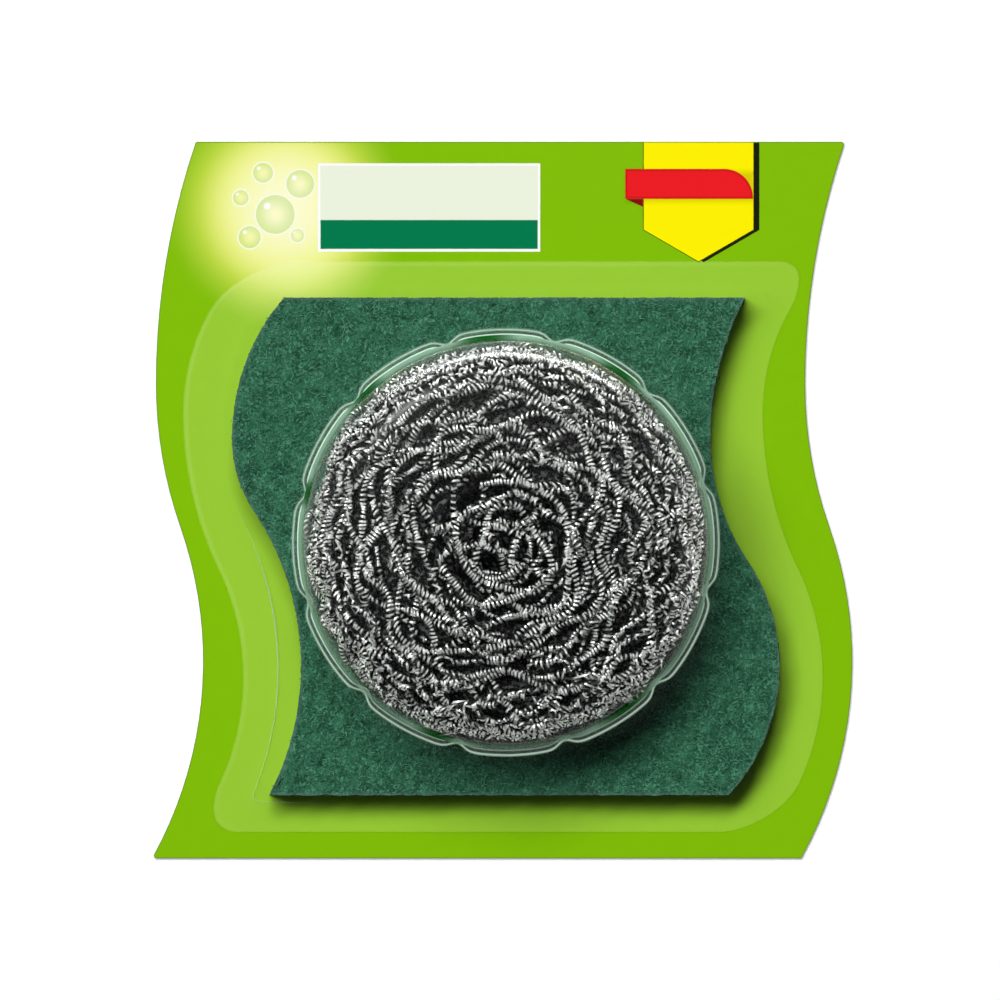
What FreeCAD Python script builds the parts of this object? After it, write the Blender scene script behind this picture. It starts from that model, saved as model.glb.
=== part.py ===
import FreeCAD, Part
import math
import os

# A carded blister pack of a steel spiral scrubber and a scrub pad, lying on its back.
# Millimetres. The origin is the centre of the card's back face, +Z points out of the card's
# front and +Y to the card's top edge.

# Steel scrubber: a ball of curled ribbon pressed to a low beehive
scrubber_radius = 35.6
scrubber_height = 25.0
scrubber_draft = 5.0
shoulder_radius = 7.0
crown_radius = 160.0
scrubber_x = 0.3
scrubber_y = -7.6

# Strands of curled ribbon wound round the ball, each drawn as the tube that its curls fill
strand_diameter = 3.6
strand_pitch = 4.8
strand_count = 5
strand_end_gap = 1.0
winding_start_angle = 200.0
winding_inner_radius = 12.0
centre_coil_radius = 6.4
centre_coil_turns = 1.5
lap_gap = 0.3

# Scrub pad: one slab of non-woven fibre with waved sides
pad_side_reach = 4.8
pad_end_reach = 6.5
pad_thickness = 6.5
pad_x = 0.3
pad_y = -8.35
pad_swing = 12.4
pad_upper_bulge = 19.4
pad_lower_bulge = -21.5
pad_top_radius = 47.0
pad_bottom_radius = 42.0
pad_inset = 8.0
pad_corner_radius = 0.8

# Blister: one thermoformed sheet with a sealing flange, a shallow pad pocket and a fluted dome
sheet = 0.3
pocket_gap = 1.0
pocket_headroom = 0.3
pocket_bevel = 0.8
pocket_swing = 9.6
pocket_upper_bulge = 19.9
pocket_lower_bulge = -21.6
pocket_top_radius = 50.0
pocket_bottom_radius = 58.0
seal_width = 6.45
seal_height = 5.35
flange_x = -0.2
flange_y = -8.4
flange_swing = 10.8
flange_upper_bulge = 24.0
flange_lower_bulge = -23.5
flange_top_radius = 38.0
flange_bottom_radius = 45.0
flange_corner_radius = 9.0
dome_gap = 2.3
flute_count = 12
flute_radius = 2.4
flute_depth = 1.35
flute_angle = 16.5
seat_gap = 0.3

# Backing card
card_thickness = 0.5
card_side_margin = 6.3
card_height = 129.0
card_swing = 8.5
card_upper_bulge = 21.0
card_lower_bulge = -29.0
card_top_radius = 135.0
card_bottom_radius = 73.0
card_corner_radius = 0.5

# Sizes that follow
strand_radius = strand_diameter / 2
coil_end_rise = strand_diameter * strand_pitch / (2 * math.pi * centre_coil_radius)
pad_bottom = card_thickness
pad_top = pad_bottom + pad_thickness
scrubber_bottom = pad_top + seat_gap
scrubber_top = scrubber_bottom + scrubber_height
pocket_ceiling = pad_top + pocket_headroom
land = pocket_ceiling + sheet
dome_foot_radius = scrubber_radius + dome_gap + sheet
pad_width = 2 * (dome_foot_radius + pad_side_reach)
pad_height = 2 * (dome_foot_radius + pad_end_reach)
pocket_width = pad_width + pad_swing - pocket_swing + 2 * pocket_gap
pocket_height = pad_height + 2 * pocket_gap
flange_width = pocket_width + 2 * (sheet + seal_width)
flange_height = pocket_height + 2 * (sheet + seal_height)
card_width = flange_width + 2 * card_side_margin


class WaveOutline:
    """An upright sheet whose two sides follow one S of tangent arcs, the right one the left moved over.

    Both sides lie an inset inside their S, so bulges are tighter than hollows.
    """

    def __init__(self, x, y, width, height, swing, upper, lower, top_radius, bottom_radius, inset=0):
        self.spacing = width + 2 * inset
        self.inset = inset
        self.top = y + height / 2
        self.bottom = y - height / 2
        self.upper = y + upper
        self.lower = y + lower
        reach = upper - lower
        middle_radius = (reach ** 2 + swing ** 2) / (2 * swing) - bottom_radius
        left = x - (self.spacing + swing) / 2
        self.radii = (top_radius, middle_radius, bottom_radius)
        self.centres = (left + top_radius, left + middle_radius, left + swing - bottom_radius)

    def side(self, shift, inside, grow, corner):
        """One side from top to bottom: a corner arc, the three arcs of the S and a corner arc.

        inside is 1 on the left, where the sheet lies inside the upper circles, and -1 on the right.
        """
        swell = inside * (grow - self.inset)
        radii = (self.radii[0] + swell, self.radii[1] + swell, self.radii[2] - swell)
        rows = (self.upper, self.upper, self.lower)
        signs = (-1, -1, 1)
        centres = [FreeCAD.Vector(self.centres[i] + shift, rows[i], 0) for i in range(3)]
        top = self.top + grow
        bottom = self.bottom - grow
        top_arc = corner_arc(centres[0], radii[0], -inside * corner, signs[0], top, top - corner)
        bottom_arc = corner_arc(centres[2], radii[2], inside * corner, signs[2], bottom, bottom + corner)
        join = self.upper + (self.lower - self.upper) * radii[1] / (radii[1] + radii[2])
        ends = (top_arc[2].y, self.upper, join, bottom_arc[2].y)
        arcs = [top_arc]
        for i in range(3):
            points = []
            for height in (ends[i], (ends[i] + ends[i + 1]) / 2, ends[i + 1]):
                half = math.sqrt(radii[i] ** 2 - (height - rows[i]) ** 2)
                points.append(FreeCAD.Vector(centres[i].x + signs[i] * half, height, 0))
            arcs.append(points)
        arcs.append(bottom_arc[::-1])
        return arcs

    def prism(self, grow, bottom, top, corner):
        """The outline grown all round, with rounded corners, raised from bottom to top."""
        left = self.side(0, 1, grow, corner)
        right = self.side(self.spacing, -1, grow, corner)
        edges = [Part.Arc(*points).toShape() for points in left + right]
        edges.append(Part.LineSegment(left[0][0], right[0][0]).toShape())
        edges.append(Part.LineSegment(left[-1][2], right[-1][2]).toShape())
        wire = Part.Wire(Part.__sortEdges__(edges))
        solid = Part.Face(wire).extrude(FreeCAD.Vector(0, 0, top - bottom))
        solid.translate(FreeCAD.Vector(0, 0, bottom))
        return solid


def corner_arc(centre, radius, reach, sign, line, height):
    """The corner between a level line and a circle, from the line: its centre lies reach past the circle."""
    half = math.sqrt((radius + reach) ** 2 - (height - centre.y) ** 2)
    middle = FreeCAD.Vector(centre.x + sign * half, height, 0)
    start = FreeCAD.Vector(middle.x, line, 0)
    end = centre + (middle - centre) * (radius / (radius + reach))
    bisector = (start - middle) + (end - middle)
    return [start, middle + bisector.normalize() * abs(reach), end]


pad_outline = WaveOutline(pad_x, pad_y, pad_width, pad_height, pad_swing, pad_upper_bulge,
                          pad_lower_bulge, pad_top_radius, pad_bottom_radius, pad_inset)
pocket_outline = WaveOutline(pad_x, pad_y, pocket_width, pocket_height, pocket_swing, pocket_upper_bulge,
                             pocket_lower_bulge, pocket_top_radius, pocket_bottom_radius)
flange_outline = WaveOutline(flange_x, flange_y, flange_width, flange_height, flange_swing,
                             flange_upper_bulge, flange_lower_bulge, flange_top_radius,
                             flange_bottom_radius)
card_outline = WaveOutline(0, 0, card_width, card_height, card_swing, card_upper_bulge,
                           card_lower_bulge, card_top_radius, card_bottom_radius)


class Beehive:
    """The scrubber's half section: a drafted wall, a round shoulder and a low crown, all tangent."""

    def __init__(self):
        lean = math.radians(scrubber_draft)
        self.foot = (scrubber_radius, scrubber_bottom)
        self.up = (-math.sin(lean), math.cos(lean))
        self.out = (math.cos(lean), math.sin(lean))
        self.crown_centre = (0, scrubber_top - crown_radius)
        # The shoulder's centre lies shoulder_radius inside the wall and inside the crown.
        start = [self.foot[i] - shoulder_radius * self.out[i] - self.crown_centre[i] for i in (0, 1)]
        along = start[0] * self.up[0] + start[1] * self.up[1]
        rest = start[0] ** 2 + start[1] ** 2 - (crown_radius - shoulder_radius) ** 2
        self.wall_length = -along + math.sqrt(along ** 2 - rest)
        self.shoulder_centre = tuple(
            self.crown_centre[i] + start[i] + self.wall_length * self.up[i] for i in (0, 1))
        across = self.shoulder_centre[0] - self.crown_centre[0]
        rise = self.shoulder_centre[1] - self.crown_centre[1]
        self.wall_angle = lean
        self.crown_angle = math.atan2(rise, across)

    def on_wall(self, offset, height):
        """The radius of the wall, moved outward by offset, at a height."""
        base = [self.foot[i] + offset * self.out[i] for i in (0, 1)]
        return base[0] + (height - base[1]) / self.up[1] * self.up[0]

    def on_arc(self, centre, radius, angle):
        return (centre[0] + radius * math.cos(angle), centre[1] + radius * math.sin(angle))

    def solid(self, offset, bottom, turn):
        """The section moved outward by offset, from a height upward, turned about the axis from +X."""
        shoulder = shoulder_radius + offset
        crown = crown_radius + offset
        half = (self.wall_angle + self.crown_angle) / 2
        top_half = (self.crown_angle + math.pi / 2) / 2
        points = [
            (self.on_wall(offset, bottom), bottom),
            self.on_arc(self.shoulder_centre, shoulder, self.wall_angle),
            self.on_arc(self.shoulder_centre, shoulder, half),
            self.on_arc(self.shoulder_centre, shoulder, self.crown_angle),
            self.on_arc(self.crown_centre, crown, top_half),
            (0, self.crown_centre[1] + crown),
            (0, bottom),
        ]
        corners = [FreeCAD.Vector(r, 0, z) for r, z in points]
        edges = [
            Part.LineSegment(corners[0], corners[1]).toShape(),
            Part.Arc(corners[1], corners[2], corners[3]).toShape(),
            Part.Arc(corners[3], corners[4], corners[5]).toShape(),
            Part.LineSegment(corners[5], corners[6]).toShape(),
            Part.LineSegment(corners[6], corners[0]).toShape(),
        ]
        face = Part.Face(Part.Wire(edges))
        turned = face.revolve(FreeCAD.Vector(0, 0, 0), FreeCAD.Vector(0, 0, 1), turn)
        turned.translate(FreeCAD.Vector(scrubber_x, scrubber_y, 0))
        return turned

    def lengths(self, offset, inner_radius):
        """The lengths of wall, shoulder and crown on the section moved by offset, in to a radius."""
        start = self.lowest(offset)
        wall = self.wall_length - start
        shoulder = (shoulder_radius + offset) * (self.crown_angle - self.wall_angle)
        last = math.acos(inner_radius / (crown_radius + offset))
        crown = (crown_radius + offset) * (last - self.crown_angle)
        return wall, shoulder, crown

    def lowest(self, offset):
        """How far up the wall the moved section is one offset above the scrubber's underside."""
        return (-offset - offset * self.out[1]) / self.up[1]

    def point(self, offset, inner_radius, length):
        """Radius and height at a length along the moved section, from its lowest point inward."""
        wall, shoulder, crown = self.lengths(offset, inner_radius)
        if length < wall:
            climb = self.lowest(offset) + length
            return tuple(self.foot[i] + offset * self.out[i] + climb * self.up[i] for i in (0, 1))
        if length < wall + shoulder:
            angle = self.wall_angle + (length - wall) / (shoulder_radius + offset)
            return self.on_arc(self.shoulder_centre, shoulder_radius + offset, angle)
        angle = self.crown_angle + (length - wall - shoulder) / (crown_radius + offset)
        return self.on_arc(self.crown_centre, crown_radius + offset, angle)


hive = Beehive()


def winding_point(length):
    """The middle line of the winding: a spiral up the wall, over the shoulder and in across the crown."""
    radius, height = hive.point(-strand_radius, winding_inner_radius, length)
    angle = math.radians(winding_start_angle) + 2 * math.pi * length / strand_pitch
    return FreeCAD.Vector(scrubber_x + radius * math.cos(angle),
                          scrubber_y + radius * math.sin(angle), height)


def centre_point(turn):
    """The middle line of the centre coil: a helix that goes down into the ball."""
    height = scrubber_top - strand_radius - coil_end_rise - strand_pitch * turn
    angle = math.radians(winding_start_angle) + 2 * math.pi * turn
    return FreeCAD.Vector(scrubber_x + centre_coil_radius * math.cos(angle),
                          scrubber_y + centre_coil_radius * math.sin(angle), height)


def direction(path, place, step):
    """The unit tangent of a path at a place."""
    way = path(place + step) - path(place - step)
    return way.normalize()


def arc_between(start, heading, end):
    """The arc that leaves start along heading and reaches end, as its edge and its radius."""
    chord = end - start
    sideways = chord - heading * chord.dot(heading)
    radius = chord.dot(chord) / (2 * sideways.Length)
    centre = start + sideways.normalize() * radius
    middle = start + chord * 0.5 - centre
    return Part.Arc(start, centre + middle.normalize() * radius, end).toShape(), radius


def biarc(start, start_way, end, end_way):
    """Two tangent arcs from start to end that take on both directions, with equal control lengths."""
    chord = end - start
    both = start_way + end_way
    turn = 2 * (1 - start_way.dot(end_way))
    along = chord.dot(both)
    reach = (-along + math.sqrt(along ** 2 + turn * chord.dot(chord))) / turn
    join = (start + end + (start_way - end_way) * reach) * 0.5
    first, first_radius = arc_between(start, start_way, join)
    second, second_radius = arc_between(end, end_way * -1, join)
    return [first, second], min(first_radius, second_radius)


def strand(name, path, first, last, turns, step):
    """One unbroken tube along a path: straight ends of one diameter and biarcs of a quarter turn or less."""
    count = math.ceil(4 * turns)
    places = [first + (last - first) * i / count for i in range(count + 1)]
    points = [path(place) for place in places]
    ways = [direction(path, place, step) for place in places]
    head = points[0] - ways[0] * strand_diameter
    tail = points[-1] + ways[-1] * strand_diameter
    edges = [Part.LineSegment(head, points[0]).toShape()]
    tightest = scrubber_radius
    for i in range(count):
        arcs, radius = biarc(points[i], ways[i], points[i + 1], ways[i + 1])
        edges.extend(arcs)
        tightest = min(tightest, radius)
    edges.append(Part.LineSegment(points[-1], tail).toShape())
    route = Part.Wire(Part.__sortEdges__(edges))
    circle = Part.Wire(Part.Circle(head, ways[0], strand_radius).toShape())
    shell = Part.BRepOffsetAPI.MakePipeShell(route)
    shell.add(circle)
    shell.build()
    shell.makeSolid()
    tube = shell.shape()
    share = tube.Volume / (math.pi * strand_radius ** 2 * route.Length)
    print(name, "turns", round(turns, 2), "length", round(route.Length, 1),
          "tightest bend", round(tightest, 2), "volume over section times length", round(share, 4),
          "valid", tube.isValid())
    return tube, route


def least_gap(route):
    """The least gap between a strand and itself, measured between points two diameters apart along it."""
    points = route.discretize(Distance=strand_radius / 2)
    stride = route.Length / (len(points) - 1)
    skip = math.ceil(2 * strand_diameter / stride)
    nearest = 2 * scrubber_radius
    for i, point in enumerate(points):
        for other in points[i + skip:]:
            nearest = min(nearest, point.distanceToPoint(other))
    return nearest - strand_diameter


def make_strands():
    """The winding's strands in order from the rim inward, and the coil at its centre."""
    span = sum(hive.lengths(-strand_radius, winding_inner_radius))
    tubes = {}
    routes = {}
    step = strand_pitch / 1000
    clear = strand_diameter + strand_end_gap / 2
    for i in range(strand_count):
        ends = [span * i / strand_count, span * (i + 1) / strand_count]
        trims = []
        for end in ends:
            radius = hive.point(-strand_radius, winding_inner_radius, end)[0]
            trims.append(strand_pitch * clear / (2 * math.pi * radius))
        first = ends[0] + trims[0]
        last = ends[1] - trims[1]
        name = "strand_" + str(i + 1)
        turns = (last - first) / strand_pitch
        tubes[name], routes[name] = strand(name, winding_point, first, last, turns, step)
    tubes["centre_coil"], routes["centre_coil"] = strand(
        "centre_coil", centre_point, 0, centre_coil_turns, centre_coil_turns, step / strand_pitch)
    for name, route in routes.items():
        print(name, "least gap to itself", round(least_gap(route), 2))
    return tubes


def make_inner_laps():
    """The laps inside the ball as one plain body, with a round well for the centre coil."""
    depth = strand_diameter + lap_gap
    body = hive.solid(-depth, scrubber_bottom, 360)
    well_bottom = scrubber_top - strand_pitch * centre_coil_turns - 2 * coil_end_rise - depth
    well_height = scrubber_top - well_bottom
    axis_foot = FreeCAD.Vector(scrubber_x, scrubber_y, well_bottom)
    well = Part.makeCylinder(winding_inner_radius - strand_radius, well_height, axis_foot)
    post = Part.makeCylinder(centre_coil_radius - strand_radius - lap_gap, well_height, axis_foot)
    return body.cut(well.cut(post))


def make_scrub_pad():
    return pad_outline.prism(0, pad_bottom, pad_top, pad_corner_radius)


def make_card():
    return card_outline.prism(0, 0, card_thickness, card_corner_radius)


def fluted_dome(offset, groove_radius, groove_bottom):
    """The dome as a filled body in equal wedges, each with an upright round groove down its middle."""
    wedge_angle = 360 / flute_count
    axis_radius = hive.on_wall(dome_gap + sheet, land) + flute_radius - flute_depth
    middle = math.radians(wedge_angle / 2)
    foot = FreeCAD.Vector(scrubber_x + axis_radius * math.cos(middle),
                          scrubber_y + axis_radius * math.sin(middle), groove_bottom)
    groove = Part.makeCylinder(groove_radius, scrubber_top + offset - groove_bottom, foot)
    wedge = hive.solid(offset, pad_top, wedge_angle).cut(groove)
    centre = FreeCAD.Vector(scrubber_x, scrubber_y, 0)
    upward = FreeCAD.Vector(0, 0, 1)
    turns = [flute_angle + wedge_angle * (i - 0.5) for i in range(flute_count)]
    return [wedge.rotated(centre, upward, turn) for turn in turns]


def pocket(grow, top, bevel):
    """The pad's pocket as a filled body, with rounded corners and a bevelled top edge."""
    corner = pad_corner_radius + pocket_gap + grow
    body = pocket_outline.prism(grow, card_thickness, top, corner)
    rim = [edge for edge in body.Edges if all(vertex.Z > card_thickness for vertex in edge.Vertexes)]
    return body.makeChamfer(bevel, rim)


def make_blister():
    """The sheet: flange, pocket and fluted dome as one filled body, less the same body one sheet inside."""
    flange = flange_outline.prism(0, card_thickness, card_thickness + sheet, flange_corner_radius)
    outer_bevel = pocket_bevel + sheet * (2 - math.sqrt(2))
    outside = pocket(sheet, land, outer_bevel)
    inside = pocket(0, pocket_ceiling, pocket_bevel)
    filled = flange.fuse([outside] + fluted_dome(dome_gap + sheet, flute_radius, land))
    hollow = inside.fuse(fluted_dome(dome_gap, flute_radius + sheet, pad_bottom))
    return filled.cut(hollow)


def export(name, shape):
    solid = shape.Solids[0]
    print(name, "solids", len(shape.Solids), "volume", round(solid.Volume, 1), "valid", solid.isValid())
    solid.exportStep("parts/" + name + ".step")


os.makedirs("parts", exist_ok=True)
export("card", make_card())
export("scrub_pad", make_scrub_pad())
export("blister", make_blister())
export("inner_laps", make_inner_laps())
for strand_name, strand_tube in make_strands().items():
    export(strand_name, strand_tube)
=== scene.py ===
# A carded blister pack lying on its back: a ball of curled steel ribbon on a scrub pad, under a clear sheet
import bpy
import math
import numpy as np
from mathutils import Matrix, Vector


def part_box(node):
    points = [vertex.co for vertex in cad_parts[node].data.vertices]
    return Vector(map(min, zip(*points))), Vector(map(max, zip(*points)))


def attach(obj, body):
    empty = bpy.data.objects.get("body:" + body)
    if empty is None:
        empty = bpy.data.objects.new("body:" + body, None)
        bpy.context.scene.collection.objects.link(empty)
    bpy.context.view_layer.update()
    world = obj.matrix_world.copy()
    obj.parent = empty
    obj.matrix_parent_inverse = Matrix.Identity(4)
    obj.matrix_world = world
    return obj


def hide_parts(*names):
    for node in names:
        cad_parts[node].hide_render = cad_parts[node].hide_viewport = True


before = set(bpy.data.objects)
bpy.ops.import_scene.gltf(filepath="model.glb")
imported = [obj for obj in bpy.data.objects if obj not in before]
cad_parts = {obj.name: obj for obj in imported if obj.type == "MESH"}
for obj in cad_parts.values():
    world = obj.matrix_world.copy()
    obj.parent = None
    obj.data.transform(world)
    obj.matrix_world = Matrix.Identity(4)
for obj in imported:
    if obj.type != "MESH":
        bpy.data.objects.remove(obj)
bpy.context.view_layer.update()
mm = 0.001  # shapes are worked out in millimetres and stored in metres


def nodeBox(node):
    # lowest and highest corner of a CAD node, in millimetres
    low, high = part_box(node)
    return np.array(low) / mm, np.array(high) / mm


cardHigh = nodeBox("card")[1]
padLow, padHigh = nodeBox("scrub_pad")
lapsLow, lapsHigh = nodeBox("inner_laps")
coilHigh = nodeBox("centre_coil")[1]
axisX, axisY = (lapsLow[:2] + lapsHigh[:2]) / 2  # the ball and the dome stand on this axis
print("frame loaded", len(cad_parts), "nodes")


class Wire:
    # one socket: + - * / ** abs < > on it add Math nodes, and make() adds any other node
    def __init__(self, socket):
        self.socket = socket

    def make(self, kind, settings, sockets, output=0):
        tree = self.socket.id_data
        made = tree.nodes.new(kind)
        for name, value in settings.items():
            setattr(made, name, value)
        for key, value in sockets.items():
            if isinstance(value, Wire):
                tree.links.new(value.socket, made.inputs[key])
            else:
                made.inputs[key].default_value = value
        return Wire(made.outputs[output]) if made.outputs else None

    def math(self, operation, first, second=0.0):
        return self.make("ShaderNodeMath", {"operation": operation}, {0: first, 1: second})

    def __add__(self, other):
        return self.math("ADD", self, other)

    __radd__ = __add__

    def __sub__(self, other):
        return self.math("SUBTRACT", self, other)

    def __rsub__(self, other):
        return self.math("SUBTRACT", other, self)

    def __mul__(self, other):
        return self.math("MULTIPLY", self, other)

    __rmul__ = __mul__

    def __truediv__(self, other):
        return self.math("DIVIDE", self, other)

    def __rtruediv__(self, other):
        return self.math("DIVIDE", other, self)

    def __pow__(self, other):
        return self.math("POWER", self, other)

    def __gt__(self, other):
        return self.math("GREATER_THAN", self, other)

    def __lt__(self, other):
        return self.math("LESS_THAN", self, other)

    def __abs__(self):
        return self.math("ABSOLUTE", self)


def larger(first, second):
    # the larger of two values, for sockets and for arrays
    if isinstance(first, Wire):
        return first.math("MAXIMUM", first, second)
    return np.maximum(first, second)


def srgb(red, green, blue):
    # screen values of 0 to 255 as a linear colour
    screen = np.array([red, green, blue]) / 255
    linear = np.where(screen > 0.04045, ((screen + 0.055) / 1.055) ** 2.4, screen / 12.92)
    return (*linear.tolist(), 1.0)


def ramp(value, start, end):
    # 0 at start and 1 at end, eased at both
    return value.make("ShaderNodeMapRange", {"interpolation_type": "SMOOTHSTEP"},
                      {"Value": value, "From Min": start, "From Max": end})


def tint(mask, first, second):
    # the first colour where the mask is 0, the second where it is 1
    return mask.make("ShaderNodeMix", {"data_type": "RGBA"}, {0: mask, 6: first, 7: second}, 2)


def grain(place, size, detail=2.0):
    # noise of 0 to 1 whose lumps are about size millimetres wide
    return place.make("ShaderNodeTexNoise", {},
                      {"Vector": place, "Scale": 1 / (size * mm), "Detail": detail})


def axis(place, which):
    # one coordinate of a place, in millimetres
    return place.make("ShaderNodeSeparateXYZ", {}, {0: place}, which) * (1 / mm)


def bump(height, strength, depth):
    # a normal raised by a height of 0 to 1 that stands for depth millimetres
    return height.make("ShaderNodeBump", {},
                       {"Strength": strength, "Distance": depth * mm, "Height": height})


def vertexValue(place, name):
    # a number stored on the mesh's vertices
    return place.make("ShaderNodeAttribute", {"attribute_name": name}, {}, 2)


def surface(place, colour, rough, more):
    # a Principled shader of a colour and a roughness, with more of its sockets by name
    return place.make("ShaderNodeBsdfPrincipled", {}, {"Base Color": colour, "Roughness": rough, **more})


def material(name, recipe):
    # a material whose surface is the shader that the recipe makes from object coordinates
    made = bpy.data.materials.new(name)
    made.use_nodes = True
    made.node_tree.nodes.clear()
    place = Wire(made.node_tree.nodes.new("ShaderNodeTexCoord").outputs["Object"])
    place.make("ShaderNodeOutputMaterial", {}, {"Surface": recipe(place)})
    return made


def outward(points, faces):
    # the faces, turned round if the volume that they enclose comes out negative
    volume = 0.0
    for group in faces:
        first = points[group[:, 0]]
        for i in range(1, group.shape[1] - 1):
            normal = np.cross(points[group[:, i]], points[group[:, i + 1]])
            volume += np.einsum("ij,ij->", first, normal)
    return faces if volume > 0 else [group[:, ::-1] for group in faces]


def addPiece(name, points, faces, finish, sharp=60, values=None):
    # a smooth mesh from points in millimetres and one index array for each number of corners
    faces = outward(points, faces)
    mesh = bpy.data.meshes.new(name)
    mesh.vertices.add(len(points))
    mesh.vertices.foreach_set("co", (points * mm).astype(np.float32).ravel())
    corners = np.concatenate([group.ravel() for group in faces]).astype(np.int32)
    sizes = np.concatenate([np.full(len(group), group.shape[1]) for group in faces])
    mesh.loops.add(len(corners))
    mesh.loops.foreach_set("vertex_index", corners)
    mesh.polygons.add(len(sizes))
    mesh.polygons.foreach_set("loop_start", (np.cumsum(sizes) - sizes).astype(np.int32))
    mesh.update(calc_edges=True)
    mesh.shade_smooth()
    mesh.set_sharp_from_angle(angle=math.radians(sharp))
    for label, numbers in (values or {}).items():
        stored = mesh.attributes.new(label, "FLOAT", "POINT")
        stored.data.foreach_set("value", np.asarray(numbers, np.float32).ravel())
    mesh.materials.append(finish)
    piece = bpy.data.objects.new(name, mesh)
    bpy.context.scene.collection.objects.link(piece)
    print(name, len(points), "points", int((sizes - 2).sum()), "triangles")
    return piece


def bandQuads(rows, columns):
    # quads between each closed row of points and the next
    row = np.arange(rows - 1)[:, None] * columns
    column = np.arange(columns)
    following = (column + 1) % columns
    quads = [row + column, row + following, row + columns + following, row + columns + column]
    return np.stack(quads, axis=-1).reshape(-1, 4)


def ringFaces(rows, columns):
    # a closed skin of rings: quads between rows, and a fan to a pole before the first and after the last
    column = np.arange(columns)
    following = (column + 1) % columns
    last = 1 + (rows - 1) * columns
    first = np.stack([np.zeros(columns, int), 1 + following, 1 + column], axis=-1)
    end = np.stack([np.full(columns, last + columns), last + column, last + following], axis=-1)
    return [1 + bandQuads(rows, columns), np.concatenate([first, end])]


def tubeFaces(count, rings, sides):
    # quads along each of count tubes and a cap on both ends
    side = np.arange(sides)
    caps = np.stack([side[::-1], (rings - 1) * sides + side])
    shift = np.arange(count)[:, None, None] * rings * sides
    return [(bandQuads(rings, sides) + shift).reshape(-1, 4), (caps + shift).reshape(-1, sides)]


def unit(vectors):
    # each vector divided by its length
    return vectors / np.linalg.norm(vectors, axis=-1, keepdims=True)


def roundAxis(radius, angle, height):
    # points at a radius, an angle and a height about the ball's axis
    parts = np.broadcast_arrays(axisX + radius * np.cos(angle), axisY + radius * np.sin(angle), height)
    return np.stack(parts, axis=-1)


def withPoles(rows, first, last):
    # rings of points as one list, between two points on the ball's axis
    return np.concatenate([[[axisX, axisY, first]], rows.reshape(-1, 3), [[axisX, axisY, last]]])


def lumps(points, size, seed, waves=14):
    # smooth noise of about -1 to 1: the mean of sine waves in random directions, with wavelengths near size
    draw = np.random.default_rng(seed)
    ways = unit(draw.normal(size=(waves, points.shape[-1])))
    rates = 2 * math.pi / (size * draw.uniform(0.7, 1.6, waves))
    turns = points @ (ways * rates[:, None]).T + draw.uniform(0, 2 * math.pi, waves)
    return np.sin(turns).sum(axis=-1) / math.sqrt(waves / 2)


reachSearch = {"near": 20.0, "far": 110.0, "halvings": 40}


def waveOf(x, y, width, height, swing, upper, lower, topRadius, bottomRadius, inset=0.0):
    # an upright sheet whose sides follow one S of three tangent arcs, the right one the left moved over;
    # both lie an inset inside their S
    middleRadius = ((upper - lower) ** 2 + swing ** 2) / (2 * swing) - bottomRadius
    spacing = width + 2 * inset
    left = x - (spacing + swing) / 2
    return {"y": y, "half": height / 2, "upperY": y + upper, "lowerY": y + lower, "spacing": spacing,
            "inset": inset, "radii": (topRadius, middleRadius, bottomRadius),
            "centres": (left + topRadius, left + middleRadius, left + swing - bottomRadius)}


def waveSide(y, wave, way):
    # x of a side, way 1 on the left and -1 on the right: the circle of whichever arc this height belongs to
    signs = (-1, -1, 1)
    radii = [radius + way * sign * wave["inset"] for radius, sign in zip(wave["radii"], signs)]
    rows = (wave["upperY"], wave["upperY"], wave["lowerY"])
    join = rows[0] + (rows[2] - rows[0]) * radii[1] / (radii[1] + radii[2])
    arcs = []
    for centre, radius, row, sign in zip(wave["centres"], radii, rows, signs):
        arcs.append(centre + sign * abs(radius ** 2 - (y - row) ** 2) ** 0.5)
    high = y > rows[0]
    low = y < join
    side = high * arcs[0] + (1 - high - low) * arcs[1] + low * arcs[2]
    return side if way > 0 else side + wave["spacing"]


def waveDistance(x, y, wave, corner):
    # how far a place lies outside the sheet's outline with rounded corners, negative inside
    across = larger(waveSide(y, wave, 1) - x, x - waveSide(y, wave, -1)) + corner
    along = abs(y - wave["y"]) - wave["half"] + corner
    inside = 0 - larger(0 - larger(across, along), 0)
    return (larger(across, 0) ** 2 + larger(along, 0) ** 2) ** 0.5 + inside - corner


def waveReach(angle, wave, corner):
    # how far the outline lies from the ball's axis at an angle, by halving the span that holds it
    near = np.full_like(angle, reachSearch["near"])
    far = np.full_like(angle, reachSearch["far"])
    for _ in range(reachSearch["halvings"]):
        reach = (near + far) / 2
        out = waveDistance(axisX + reach * np.cos(angle), axisY + reach * np.sin(angle), wave, corner) > 0
        far = np.where(out, reach, far)
        near = np.where(out, near, reach)
    return (near + far) / 2


# Beehive: the half section that the ball and the dome share
hive = {"radius": 35.6, "draft": math.radians(5), "shoulder": 7.0, "crown": 160.0,
        "bottom": lapsLow[2], "top": coilHigh[2]}
hiveOut = np.array([math.cos(hive["draft"]), math.sin(hive["draft"])])
hiveUp = np.array([-hiveOut[1], hiveOut[0]])
crownCentre = np.array([0, hive["top"] - hive["crown"]])
hiveStart = np.array([hive["radius"], hive["bottom"]]) - hive["shoulder"] * hiveOut - crownCentre
hiveAlong = hiveStart @ hiveUp
crownToShoulder = hive["crown"] - hive["shoulder"]
wallLength = math.sqrt(hiveAlong ** 2 - hiveStart @ hiveStart + crownToShoulder ** 2) - hiveAlong
shoulderCentre = crownCentre + hiveStart + wallLength * hiveUp
crownAngle = math.atan2(*(shoulderCentre - crownCentre)[::-1])


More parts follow.
